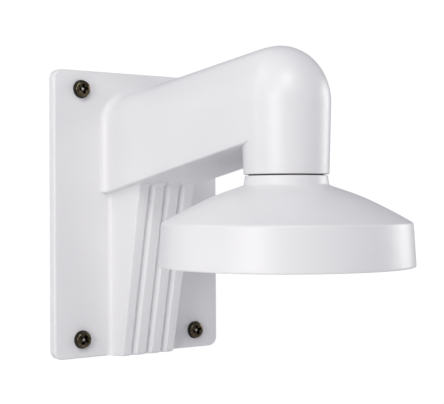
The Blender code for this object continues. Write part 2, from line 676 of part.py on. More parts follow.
def main():
    clearScene()
    paint = makeMaterial("white_paint", (0.80, 0.80, 0.83), 0.42, 0.0)
    bronze = makeMaterial("bronze_screw", (0.16, 0.13, 0.09), 0.32, 1.0)
    zinc = makeMaterial("zinc_steel", (0.62, 0.63, 0.65), 0.35, 1.0)
    dark = makeMaterial("black_oxide", (0.04, 0.04, 0.045), 0.4, 1.0)
    rubber = makeMaterial("black_rubber", (0.025, 0.025, 0.027), 0.75, 0.0)
    foam = makeMaterial("grey_foam", (0.09, 0.09, 0.095), 0.9, 0.0)
    nylon = makeMaterial("nylon", (0.82, 0.80, 0.74), 0.5, 0.0)

    buildBracket(paint)
    buildRearPlate(zinc)
    buildFlangeGasket(foam)
    buildGrommet(rubber)

    # Corner screws, washers and clinch nuts
    spots = {}
    for index, (x, z) in enumerate(corners()):
        turn = Matrix.Rotation(math.radians((8, -27, 40, 19)[index]), 4, "Z")
        label = ("left_top", "left_bottom", "right_top", "right_bottom")[index]
        spots[label] = Matrix.Translation((x, 0, z)) @ outwardTurn() @ turn
    seat = Matrix.Translation((0, 0, FLANGE_DEPTH + WASHER_THICK + 2 * GAP))
    screw = panScrew("screw", SCREW_HEAD, SCREW_HEAD_HEIGHT, SCREW_SHANK, 7.4 * MM,
                     (2.9 * MM, 2.0 * MM, 0.62 * MM), 18, bronze)
    shade(screw)
    spread(screw, {"corner_screw_" + label: spot @ seat for label, spot in spots.items()})
    low = FLANGE_DEPTH + GAP
    outline = [(SCREW_SHANK + GAP, low), (WASHER_RADIUS, low), (WASHER_RADIUS, low + 0.6 * MM),
               (WASHER_RADIUS - 0.3 * MM, low + WASHER_THICK), (SCREW_SHANK + GAP, low + WASHER_THICK)]
    washer = makeObject("washer", turned(outline, 18), rubber)
    shade(washer)
    spread(washer, {"screw_washer_" + label: spot for label, spot in spots.items()})
    nutLow = 0.4 * MM
    nut = makeObject("nut", turned([(SCREW_SHANK + GAP, nutLow), (NUT_RADIUS, nutLow),
                                    (NUT_RADIUS, 2.3 * MM), (SCREW_SHANK + GAP, 2.3 * MM)], 12), zinc)
    spread(nut, {"clinch_nut_" + label: spot for label, spot in spots.items()})

    # Cap and what it carries; every piece is built about the cap's axis
    axis = Matrix.Translation((0, -REACH, 0))
    cap = buildCap(paint)
    seal = buildNeckSeal(rubber)
    plate = buildCameraPlate(zinc)
    foamRing = buildCameraSeal(foam)
    hook = buildHook(zinc)
    for obj in (cap, seal, plate, foamRing, hook):
        obj.matrix_world = axis
    flip = Matrix.Rotation(math.pi, 4, "X")
    hookScrew = panScrew("lanyard_screw", 2.7 * MM, 1.9 * MM, 1.7 * MM, 6.8 * MM,
                         (1.9 * MM, 1.3 * MM, 0.42 * MM), 12, zinc)
    under = 12.4 * MM - 1.5 * MM - 2 * GAP
    hookScrew.matrix_world = axis @ Matrix.Translation((HOOK_R, 0, under)) @ flip
    shade(hookScrew)
    plateScrew = panScrew("screw", 3.8 * MM, 2.4 * MM, 1.9 * MM, 9.0 * MM,
                          (2.1 * MM, 1.5 * MM, 0.45 * MM), 12, zinc)
    spots = {}
    for k in range(3):
        a = math.radians(120 * k + 90)
        spot = (BOSS_RING * math.cos(a), BOSS_RING * math.sin(a), PLATE_TOP_Z - PLATE_THICK - GAP)
        spots["plate_screw_" + str(k + 1)] = axis @ Matrix.Translation(spot) @ flip
    shade(plateScrew)
    spread(plateScrew, spots)

    # Lock screw: a grub screw pressing a nylon pad towards the neck's thread
    side = Matrix.Rotation(math.radians(90), 4, "Y")
    pad = makeObject("lock_pad", rod(1.9 * MM, 19.65 * MM, 20.75 * MM, 16), nylon)
    grub = makeObject("lock_screw", turned([(0, 21.05 * MM), (1.6 * MM, 21.05 * MM), (1.95 * MM, 21.4 * MM),
                                            (1.95 * MM, 23.4 * MM), (1.7 * MM, 23.65 * MM),
                                            (0, 23.65 * MM)], 16, closed=False), dark)
    key = rod(1.15 * MM, 22.0 * MM, 25 * MM, 6)
    combine(grub, makeObject("key", key), "DIFFERENCE")
    for obj in (pad, grub):
        obj.matrix_world = Matrix.Translation((0, -REACH, LOCK_Z)) @ side


main()
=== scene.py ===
import math

import bmesh
import bpy
from mathutils import Matrix, Vector


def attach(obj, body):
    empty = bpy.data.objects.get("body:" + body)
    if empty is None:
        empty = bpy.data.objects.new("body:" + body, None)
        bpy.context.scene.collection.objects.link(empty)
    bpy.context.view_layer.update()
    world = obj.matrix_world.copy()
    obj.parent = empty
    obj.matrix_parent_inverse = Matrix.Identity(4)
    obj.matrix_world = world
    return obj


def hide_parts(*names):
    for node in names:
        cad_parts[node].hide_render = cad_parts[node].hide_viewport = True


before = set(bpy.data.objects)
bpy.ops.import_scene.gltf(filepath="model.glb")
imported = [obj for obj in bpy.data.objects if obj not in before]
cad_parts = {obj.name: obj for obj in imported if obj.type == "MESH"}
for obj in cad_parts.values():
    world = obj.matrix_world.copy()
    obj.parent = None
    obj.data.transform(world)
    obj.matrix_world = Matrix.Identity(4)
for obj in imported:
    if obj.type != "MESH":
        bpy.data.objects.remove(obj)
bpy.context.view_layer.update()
mm = 0.001
reach = 159.0  # from the wall to the cap's axis; sizes below are in millimetres unless they say otherwise


# shader expressions
class Link:
    # one socket of a material's node tree, so that maths on patterns can be written as Python expressions

    def __init__(self, tree, socket):
        self.tree = tree
        self.socket = socket

    def maths(self, operation, other=None, swap=False):
        node = self.tree.nodes.new("ShaderNodeMath")
        node.operation = operation
        values = [self] if other is None else [other, self] if swap else [self, other]
        for place, value in enumerate(values):
            if isinstance(value, Link):
                self.tree.links.new(value.socket, node.inputs[place])
            else:
                node.inputs[place].default_value = value
        return Link(self.tree, node.outputs[0])

    def __add__(self, other):
        return self.maths("ADD", other)

    __radd__ = __add__

    def __sub__(self, other):
        return self.maths("SUBTRACT", other)

    def __rsub__(self, other):
        return self.maths("SUBTRACT", other, swap=True)

    def __mul__(self, other):
        return self.maths("MULTIPLY", other)

    __rmul__ = __mul__

    def clamp(self):
        bounded = self.maths("ADD", 0.0)
        bounded.socket.node.use_clamp = True
        return bounded


class Finish:
    # a material with its Principled shader, and one method that adds any other node

    def __init__(self, name, **fixed):
        self.material = bpy.data.materials.new(name)
        self.material.use_nodes = True
        self.tree = self.material.node_tree
        self.shader = self.tree.nodes["Principled BSDF"]
        for socket, value in fixed.items():
            self.shader.inputs[socket.replace("_", " ")].default_value = value
        self.place = self.node("ShaderNodeTexCoord", {}, {}, "Object")

    def node(self, kind, settings, inputs, output=0):
        made = self.tree.nodes.new(kind)
        for name, value in settings.items():
            if name == "stops":
                ramp = made.color_ramp.elements
                while len(ramp) < len(value):
                    ramp.new(0.5)
                for stop, (position, colour) in zip(ramp, value):
                    stop.position = position
                    stop.color = (*colour, 1.0) if len(colour) == 3 else colour
            else:
                setattr(made, name, value)
        for name, value in inputs.items():
            if isinstance(value, Link):
                self.tree.links.new(value.socket, made.inputs[name])
            else:
                made.inputs[name].default_value = value
        return Link(self.tree, made.outputs[output])

    def noise(self, scale, detail=2.0, roughness=0.5, stretch=None):
        place = self.place
        if stretch:
            place = self.node("ShaderNodeMapping", {}, {"Vector": place, "Scale": stretch})
        return self.node("ShaderNodeTexNoise", {}, {
            "Vector": place, "Scale": scale, "Detail": detail, "Roughness": roughness}, "Fac")

    def cells(self, scale, feature="F1"):
        return self.node("ShaderNodeTexVoronoi", {"feature": feature}, {
            "Vector": self.place, "Scale": scale}, "Distance")

    def blend(self, share, first, second):
        return self.node("ShaderNodeMix", {"data_type": "RGBA"}, {0: share, 6: first, 7: second}, 2)

    def span(self, value, low, high, start=0.0, end=1.0):
        return self.node("ShaderNodeMapRange", {"interpolation_type": "SMOOTHSTEP"}, {
            "Value": value, "From Min": low, "From Max": high, "To Min": start, "To Max": end})

    def axis(self, letter):
        return self.node("ShaderNodeSeparateXYZ", {}, {"Vector": self.place}, letter)

    def feed(self, **links):
        for name, link in links.items():
            self.tree.links.new(link.socket, self.shader.inputs[name.replace("_", " ")])
        return self.material

    def bump(self, height, distance, strength=1.0):
        return self.node("ShaderNodeBump", {}, {
            "Height": height, "Distance": distance, "Strength": strength})


def whitePaint():
    # satin powder coat: a faint orange peel, a fine grain, and slightly cool white
    made = Finish("whitePaint", Specular_IOR_Level=0.45)
    peel = made.noise(620.0, 2.0, 0.5)
    grain = made.noise(2600.0, 2.0, 0.6)
    drift = made.noise(14.0, 2.0, 0.5)
    colour = made.blend(made.span(drift, 0.3, 0.7), (0.800, 0.798, 0.808, 1), (0.824, 0.822, 0.830, 1))
    rough = made.span(peel * 0.6 + grain * 0.4, 0.25, 0.75, 0.31, 0.40)
    height = peel * 0.7 + grain * 0.3
    return made.feed(Base_Color=colour, Roughness=rough, Normal=made.bump(height, 0.00006, 0.35))


bronzePlan = dict(  # in metres: the screws' places, and the radii and depths at which the painted shade in the cross recess and round the head's edge, and the painted glint at its middle, begin
    column=0.043, row=0.0792, recess=(0.0036, 0.0042), depth=(-0.01038, -0.01005), rim=(0.0045, 0.0053),
    paintedGlint=(0.0006, 0.0012))


def bronzeSteel(plan):
    # dark bronze plating, a little olive, with painted shade down in the cross and round the head's edge, and a
    # painted glint of bright metal at its middle
    made = Finish("bronzeSteel", Metallic=1.0)
    mottle = made.noise(900.0, 4.0, 0.6)
    scratch = made.noise(1500.0, 3.0, 0.6, (1.0, 1.0, 0.12))
    across = made.axis("X").maths("ABSOLUTE") - plan["column"]
    along = made.axis("Z").maths("ABSOLUTE") - plan["row"]
    radius = (across * across + along * along).maths("SQRT")
    # painted shade: the cross recess is coloured near black (and made rougher), and the head darkens towards
    # its edge
    recess = made.span(made.axis("Y"), *plan["depth"]) * (1 - made.span(radius, *plan["recess"]))
    rim = made.span(radius, *plan["rim"])
    # painted glint: a small spot of bright metal colour at the middle of the cross
    paintedGlint = 1 - made.span(radius, *plan["paintedGlint"])
    colour = made.blend(made.span(mottle, 0.3, 0.7), (0.040, 0.032, 0.022, 1), (0.165, 0.135, 0.08, 1))
    # the painted shade goes in here, over the recess and round the head's edge
    colour = made.blend((recess + rim * 0.7).clamp(), colour, (0.008, 0.007, 0.006, 1))
    colour = made.blend(paintedGlint, colour, (0.85, 0.78, 0.72, 1))
    rough = made.span(mottle * 0.5 + scratch * 0.5, 0.3, 0.7, 0.22, 0.42) + recess * 0.2
    return made.feed(Base_Color=colour, Roughness=rough, Normal=made.bump(scratch, 0.00004, 0.5))


def zincSteel():
    # bright zinc plating with soft mottling and rolling marks
    made = Finish("zincSteel", Metallic=1.0)
    mottle = made.noise(110.0, 4.0, 0.6)
    marks = made.noise(1800.0, 3.0, 0.6, (0.06, 1.0, 1.0))
    colour = made.blend(made.span(mottle, 0.2, 0.8), (0.60, 0.612, 0.63, 1), (0.66, 0.67, 0.682, 1))
    rough = made.span(marks * 0.8 + mottle * 0.2, 0.3, 0.7, 0.32, 0.44)
    return made.feed(Base_Color=colour, Roughness=rough, Normal=made.bump(marks, 0.00003, 0.4))


def blackOxide():
    made = Finish("blackOxide", Metallic=1.0)
    mottle = made.noise(1400.0, 3.0, 0.6)
    colour = made.blend(made.span(mottle, 0.3, 0.7), (0.022, 0.022, 0.025, 1), (0.062, 0.06, 0.06, 1))
    rough = made.span(mottle, 0.3, 0.7, 0.3, 0.5)
    return made.feed(Base_Color=colour, Roughness=rough, Normal=made.bump(mottle, 0.00003, 0.4))


def blackRubber():
    # moulded rubber with a fine matt skin and a dusting of lighter bloom
    made = Finish("blackRubber", Specular_IOR_Level=0.35)
    skin = made.noise(3200.0, 2.0, 0.6)
    bloom = made.noise(160.0, 4.0, 0.6)
    colour = made.blend(made.span(bloom, 0.35, 0.75), (0.018, 0.018, 0.019, 1), (0.04, 0.04, 0.042, 1))
    rough = made.span(bloom * 0.5 + skin * 0.5, 0.3, 0.7, 0.55, 0.78)
    return made.feed(Base_Color=colour, Roughness=rough, Normal=made.bump(skin, 0.00004, 0.6))


def greyFoam():
    # closed-cell foam: small open pores over its cut faces
    made = Finish("greyFoam", Specular_IOR_Level=0.2)
    pores = made.cells(1500.0)
    patches = made.noise(300.0, 3.0, 0.6)
    open_ = made.span(pores, 0.1, 0.55)
    colour = made.blend(open_ * 0.7 + patches * 0.3, (0.045, 0.045, 0.048, 1), (0.13, 0.13, 0.135, 1))
    rough = made.span(patches, 0.3, 0.7, 0.82, 0.95)
    return made.feed(Base_Color=colour, Roughness=rough, Normal=made.bump(open_, 0.00025, 0.7))


def naturalNylon():
    made = Finish("naturalNylon", Subsurface_Weight=0.1, Subsurface_Scale=0.002)
    cloud = made.noise(400.0, 2.0, 0.5)
    colour = made.blend(made.span(cloud, 0.3, 0.7), (0.76, 0.73, 0.66, 1), (0.84, 0.82, 0.76, 1))
    rough = made.span(cloud, 0.3, 0.7, 0.42, 0.55)
    return made.feed(Base_Color=colour, Roughness=rough, Normal=made.bump(cloud, 0.00003, 0.3))


paint = whitePaint()
bronze = bronzeSteel(bronzePlan)
zinc = zincSteel()
oxide = blackOxide()
rubber = blackRubber()
foam = greyFoam()
nylon = naturalNylon()
print("finishes made")


# modelling steps
def deselectAll():
    if bpy.context.object and bpy.context.object.mode != "OBJECT":
        bpy.ops.object.mode_set(mode="OBJECT")
    bpy.ops.object.select_all(action="DESELECT")


def named(name):
    piece = bpy.context.object
    piece.name = name
    piece.data.name = name
    return piece


def editing(piece):
    deselectAll()
    bpy.context.view_layer.objects.active = piece
    piece.select_set(True)
    bpy.ops.object.mode_set(mode="EDIT")


def pick(piece, kind, test):
    # in edit mode: leaves selected only the vertices, edges or faces that pass the test
    modes = {"verts": "VERT", "edges": "EDGE", "faces": "FACE"}
    bpy.ops.mesh.select_mode(type=modes[kind])
    bpy.ops.mesh.select_all(action="DESELECT")
    shape = bmesh.from_edit_mesh(piece.data)
    for item in getattr(shape, kind):
        if test(item):
            item.select_set(True)
    shape.select_flush_mode()
    bmesh.update_edit_mesh(piece.data)


def ends(edge):
    return edge.verts[0].co / mm, edge.verts[1].co / mm


def nudge(piece, move):
    # in edit mode: moves each selected vertex to where move puts it
    shape = bmesh.from_edit_mesh(piece.data)
    for vert in shape.verts:
        if vert.select:
            vert.co = move(vert.co / mm) * mm
    bmesh.update_edit_mesh(piece.data)


def tidyMesh(merge=0.002):
    # in edit mode: seams merged, and every face turned outwards
    bpy.ops.mesh.select_all(action="SELECT")
    bpy.ops.mesh.remove_doubles(threshold=merge * mm)
    bpy.ops.mesh.dissolve_degenerate(threshold=0.0005 * mm)
    bpy.ops.mesh.normals_make_consistent(inside=False)
    bpy.ops.object.mode_set(mode="OBJECT")


def addCube(name, low, high):
    deselectAll()
    middle = [(a + b) / 2 * mm for a, b in zip(low, high)]
    bpy.ops.mesh.primitive_cube_add(size=1.0, location=middle, scale=[(b - a) * mm for a, b in zip(low, high)])
    piece = named(name)
    bpy.ops.object.transform_apply(location=True, rotation=True, scale=True)
    return piece


def addRod(name, radius, start, end, centre, along="Z", steps=48, radiusEnd=None):
    # a cylinder or cone between two places on an axis through centre
    deselectAll()
    turns = {"Z": (0.0, 0.0, 0.0), "Y": (math.radians(-90), 0.0, 0.0), "X": (0.0, math.radians(90), 0.0)}
    spot = Vector(centre)
    spot["XYZ".index(along)] += (start + end) / 2
    bpy.ops.mesh.primitive_cone_add(
        vertices=steps, radius1=radius * mm, radius2=(radius if radiusEnd is None else radiusEnd) * mm,
        depth=(end - start) * mm, location=spot * mm, rotation=turns[along])
    piece = named(name)
    bpy.ops.object.transform_apply(location=True, rotation=True, scale=True)
    return piece


def merged(piece, tool, how="DIFFERENCE", overlapping=False):
    deselectAll()
    bpy.context.view_layer.objects.active = piece
    piece.select_set(True)
    change = piece.modifiers.new("merged", "BOOLEAN")
    change.operation = how
    change.solver = "EXACT"
    change.use_self = overlapping
    change.object = tool
    bpy.ops.object.modifier_apply(modifier=change.name)
    bpy.data.objects.remove(tool)
    bpy.ops.object.mode_set(mode="EDIT")
    bpy.ops.mesh.select_all(action="SELECT")
    bpy.ops.mesh.remove_doubles(threshold=0.004 * mm)
    bpy.ops.mesh.dissolve_degenerate(threshold=0.0005 * mm)
    bpy.ops.object.mode_set(mode="OBJECT")
    return piece


def joined(name, pieces):
    # several separate tools as one object, so that one cut serves them all
    deselectAll()
    for piece in pieces:
        piece.select_set(True)
    bpy.context.view_layer.objects.active = pieces[0]
    if len(pieces) > 1:
        bpy.ops.object.join()
    return named(name)


def lathe(name, outline, steps, centre=(0.0, 0.0, 0.0), closed=False):
    # an outline of (radius, height, rounding) drawn as a wire, its corners rounded, then spun about Z
    deselectAll()
    bpy.ops.mesh.primitive_plane_add(size=1.0 * mm)
    piece = named(name)
    bpy.ops.object.mode_set(mode="EDIT")
    bpy.ops.mesh.select_mode(type="VERT")
    bpy.ops.mesh.select_all(action="SELECT")
    bpy.ops.mesh.merge(type="CENTER")
    nudge(piece, lambda spot: Vector((outline[0][0], 0.0, outline[0][1])))
    for before, after in zip(outline, outline[1:]):
        step = Vector((after[0] - before[0], 0.0, after[1] - before[1])) * mm
        bpy.ops.mesh.extrude_vertices_move(TRANSFORM_OT_translate={"value": step})
    if closed:
        pick(piece, "verts", lambda vert: len(vert.link_edges) == 1)
        bpy.ops.mesh.edge_face_add()
    for radius, height, rounding in outline:
        if rounding:
            pick(piece, "verts", lambda vert: (vert.co / mm - Vector((radius, 0.0, height))).length < 1e-3)
            bpy.ops.mesh.bevel(offset=rounding * mm, segments=5, affect="VERTICES")
    bpy.ops.mesh.select_all(action="SELECT")
    bpy.ops.mesh.spin(steps=steps, angle=2 * math.pi, center=(0.0, 0.0, 0.0), axis=(0.0, 0.0, 1.0))
    tidyMesh()
    shift(piece, centre)
    return piece


def shift(piece, move, turn=None):
    # the place goes into the mesh, so the object stays at the origin
    matrix = Matrix.Translation(Vector(move) * mm)
    if turn is not None:
        matrix = matrix @ turn
    deselectAll()
    bpy.context.view_layer.objects.active = piece
    piece.select_set(True)
    piece.matrix_world = matrix
    bpy.ops.object.transform_apply(location=True, rotation=True, scale=True)
    return piece


def loftAlong(name, sections):
    # a closed skin: a flat ring with numbered corners is extruded, and each new end takes the next section
    deselectAll()
    bpy.ops.mesh.primitive_circle_add(vertices=len(sections[0]), radius=mm, fill_type="NGON")
    piece = named(name)
    bpy.ops.object.mode_set(mode="EDIT")
    shape = bmesh.from_edit_mesh(piece.data)
    number = shape.verts.layers.int.new("number")
    for index, vert in enumerate(shape.verts):
        vert[number] = index
    bmesh.update_edit_mesh(piece.data)
    bpy.ops.mesh.select_mode(type="FACE")
    bpy.ops.mesh.select_all(action="SELECT")
    for index, section in enumerate(sections):
        if index:
            bpy.ops.mesh.extrude_region_move(TRANSFORM_OT_translate={"value": (0.0, 0.0, 0.0)})
        shape = bmesh.from_edit_mesh(piece.data)
        number = shape.verts.layers.int["number"]
        for vert in shape.verts:
            if vert.select:
                vert.co = Vector(section[vert[number]]) * mm
        bmesh.update_edit_mesh(piece.data)
    tidyMesh(0.001)
    return piece


def softEdges(piece, test, width, segments=3):
    # a small round along the edges that pass the test
    editing(piece)
    pick(piece, "edges", test)
    bpy.ops.mesh.bevel(offset=width * mm, segments=segments, affect="EDGES", clamp_overlap=True)
    bpy.ops.object.mode_set(mode="OBJECT")
    return piece


def finished(piece, material, body, *stands, angle=30.0, slot=None):
    # smooth shading that keeps flat faces flat, the finish, and the body that the piece moves with
    deselectAll()
    bpy.context.view_layer.objects.active = piece
    piece.select_set(True)
    bpy.ops.object.shade_smooth_by_angle(angle=math.radians(angle))
    even = piece.modifiers.new("even", "WEIGHTED_NORMAL")
    even.keep_sharp = True
    bpy.ops.object.modifier_apply(modifier=even.name)
    piece.data.materials.clear()
    piece.data.materials.append(material)
    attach(piece, body)
    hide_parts(*stands)
    return piece


def copied(source, name):
    piece = source.copy()
    piece.data = source.data.copy()
    piece.name = name
    piece.data.name = name
    bpy.context.scene.collection.objects.link(piece)
    return piece


def between(a, b, share):
    return a + (b - a) * share


def smoothLine(points, steps):
    # a smooth curve through points, as a list that includes them
    padded = [points[0]] + list(points) + [points[-1]]
    line = []
    for a, b, c, d in zip(padded, padded[1:], padded[2:], padded[3:]):
        for k in range(steps):
            t = k / steps
            line.append(tuple(
                0.5 * (2 * q + (r - p) * t + (2 * p - 5 * q + 4 * r - s) * t * t
                       + (3 * q - p - 3 * r + s) * t ** 3)
                for p, q, r, s in zip(a, b, c, d)))
    line.append(tuple(points[-1]))
    return line


# bracket
bracketPlan = dict(
    flange=(124.0, 6.5, 182.4), flangeCorner=6.0, flangeEdge=1.6, rim=3.2, recess=3.3, padRadius=5.0,
    padFace=2.6, screwX=43.0, screwZ=79.2, screwHole=2.8,
    rootHalf=25.8, elbowHalf=24.4, footElbow=23.84, floorRoot=14.1, floorSlope=0.176, shoulderRoot=57.2,
    shoulderElbow=61.3, crownRoot=78.6, crownSlope=0.103, crownStraight=142.0, crownPeak=152.0, crownPower=2.1,
    rootRound=5.0, lowerRound=1.2, wall=3.0, mouth=22.6, mouthHalf=23.3, mouthRound=0.5,
    gussetRoot=21.6, gussetTop=20.8, gussetBottom=19.5, gussetFront=36.3, gussetSlope=0.2125, gussetFoot=-91.0,
    gussetCorner=1.2, gussetRound=3.0, gussetFillet=2.8, gussetFootRound=2.0, groovePitch=11.2, grooveHalf=2.55,
    grooveDepth=2.35, grooveRim=0.15,
    cableHeight=46.0, lockHeight=31.0)


def armShare(out):
    return min(max((out - 8.0) / (reach - 8.0), 0.0), 1.0)


def armFloor(out):
    return bracketPlan["floorRoot"] + bracketPlan["floorSlope"] * (out - 10.0)


def armCrown(out, inset=0.0):
    plan = bracketPlan
    straight = plan["crownRoot"] + plan["crownSlope"] * (plan["crownStraight"] - 8.0)
    ease = plan["crownPeak"] - plan["crownStraight"]
    peak = straight + plan["crownSlope"] * ease / 2
    if out < plan["crownStraight"]:
        return plan["crownRoot"] + plan["crownSlope"] * (out - 8.0) - inset
    if out < plan["crownPeak"]:
        into = out - plan["crownStraight"]
        return straight + plan["crownSlope"] * (into - into * into / (2 * ease)) - inset
    share = min((out - plan["crownPeak"]) / (reach + plan["elbowHalf"] - inset - plan["crownPeak"]), 1.0)
    power = plan["crownPower"]
    return plan["shoulderElbow"] + (peak - inset - plan["shoulderElbow"]) * (1 - share ** power) ** (1 / power)


def spreadAt(depth, radius):
    # how far a fillet spreads sideways at a height above the face that it lands on
    if depth >= radius:
        return 0.0
    return radius - math.sqrt(max(radius * radius - (radius - max(depth, 0.0)) ** 2, 0.0))


def armSection(out, half, foot, low, shoulder, rise, corner, arc, turns):
    # one D-shaped section: round top from right to left, then the two lower corners
    ring = []
    for i in range(arc + 1):
        angle = math.pi * i / arc
        ring.append((half * math.cos(angle), -out, shoulder + rise * math.sin(angle)))
    left = []
    for i in range(turns + 1):
        angle = math.pi / 2 * i / turns
        side = foot - corner + corner * math.cos(angle)
        left.append((-side, -out, low + corner - corner * math.sin(angle)))
    return ring + left + [(-x, y, z) for x, y, z in left[::-1]]


def armSkin(name, inset, depths, front, mouth, arc, turns, steps):
    plan = bracketPlan
    sections = []
    for out, spread in depths:
        share = armShare(out)
        half = between(plan["rootHalf"], plan["elbowHalf"], share) - inset + spread
        foot = between(plan["rootHalf"], plan["footElbow"], share) - inset + spread
        shoulder = between(plan["shoulderRoot"], plan["shoulderElbow"], share)
        sections.append(armSection(
            out, half, foot, armFloor(out) + inset, shoulder, armCrown(out, inset) + spread - shoulder,
            plan["lowerRound"], arc, turns))
    if front:
        # the elbow's front half, whose sections reach down to the mouth and close at its nose
        radius = plan["elbowHalf"] - inset
        lip = plan["mouthRound"]
        for i in range(steps + 1):
            turn = math.pi / 2 * i / steps
            out = reach + radius * math.sin(turn)
            half = max(radius * math.cos(turn), 0.0)
            rise = armCrown(out, inset) - plan["shoulderElbow"]
            ring = armSection(out, half, half, mouth, plan["shoulderElbow"], rise, 0.0, arc, turns)
            for k in range(turns + 1):
                angle = math.pi / 2 * k / turns
                cut = lip * (1 - math.cos(angle))
                size = plan["mouthHalf"] - inset - cut
                height = mouth + lip * (1 - math.sin(angle))
                spot = (size * math.cos(turn), -reach - size * math.sin(turn), height)
                ring[arc + 1 + k] = (-spot[0], spot[1], spot[2])
                ring[len(ring) - 1 - k] = spot
            sections.append(ring)
    return loftAlong(name, sections)


def gussetSection(height, out, deep, steps=10):
    plan = bracketPlan
    share = min(max((height - plan["gussetFoot"]) / 110.0, 0.0), 1.0)
    front = plan["gussetFront"] + plan["gussetSlope"] * height + out
    tip = between(plan["gussetBottom"], plan["gussetTop"], share) + out * 0.35
    corner, fillet = plan["gussetCorner"], plan["gussetRound"]
    side = [(plan["gussetRoot"] + fillet, plan["flange"][1] - 1.2)]
    for i in range(9):
        angle = math.pi / 2 * i / 8
        side.append((plan["gussetRoot"] + fillet - fillet * math.sin(angle),
                     plan["flange"][1] - 0.02 + fillet - fillet * math.cos(angle)))
    for i in range(7):
        angle = math.pi / 2 * i / 6
        side.append((tip - corner + corner * math.cos(angle), front - corner + corner * math.sin(angle)))
    face = []
    for centre in (plan["groovePitch"], 0.0, -plan["groovePitch"]):
        face.append((centre + plan["grooveHalf"] + plan["grooveRim"], front))
        for i in range(steps + 1):
            angle = math.pi * i / steps
            sink = max(plan["grooveDepth"] * (1 - abs(math.cos(angle)) ** 1.3), 0.1)
            face.append((centre + plan["grooveHalf"] * math.cos(angle), front - sink * deep))
        face.append((centre - plan["grooveHalf"] - plan["grooveRim"], front))
    outline = side + face + [(-x, depth) for x, depth in side[::-1]]
    return [(x, -depth, height) for x, depth in outline]


def ridgedRod(name, minor, major, pitch, low, high, start, ridge, steps=72):
    # a rod with a right-hand thread: one pitch of its outline, screwed upwards, cut level and closed
    deselectAll()
    bpy.ops.mesh.primitive_plane_add(size=1.0 * mm)
    piece = named(name)
    bpy.ops.object.mode_set(mode="EDIT")
    bpy.ops.mesh.select_mode(type="VERT")
    bpy.ops.mesh.select_all(action="SELECT")
    bpy.ops.mesh.merge(type="CENTER")
    line = [(share * pitch, minor + (major - minor) * height) for share, height in ridge] + [(pitch, minor)]
    base = start - pitch * math.ceil((start - low) / pitch + 1.0)
    nudge(piece, lambda spot: Vector((line[0][1], 0.0, base + line[0][0])))
    for before, after in zip(line, line[1:]):
        step = Vector((after[1] - before[1], 0.0, after[0] - before[0])) * mm
        bpy.ops.mesh.extrude_vertices_move(TRANSFORM_OT_translate={"value": step})
    bpy.ops.object.mode_set(mode="OBJECT")
    wind = piece.modifiers.new("wind", "SCREW")
    wind.axis = "Z"
    wind.angle = 2 * math.pi
    wind.screw_offset = pitch * mm
    wind.iterations = math.ceil((high - base) / pitch) + 1
    wind.steps = steps
    wind.render_steps = steps
    wind.use_merge_vertices = True
    wind.merge_threshold = 0.002 * mm
    bpy.ops.object.modifier_apply(modifier=wind.name)
    bpy.ops.object.mode_set(mode="EDIT")
    bpy.ops.mesh.select_all(action="SELECT")
    bpy.ops.mesh.remove_doubles(threshold=0.002 * mm)
    for height, normal in ((low, (0, 0, -1)), (high, (0, 0, 1))):
        bpy.ops.mesh.select_all(action="SELECT")
        bpy.ops.mesh.bisect(plane_co=(0, 0, height * mm), plane_no=normal, use_fill=True, clear_outer=True,
                            threshold=1e-7)
    tidyMesh(0.0005)
    return piece


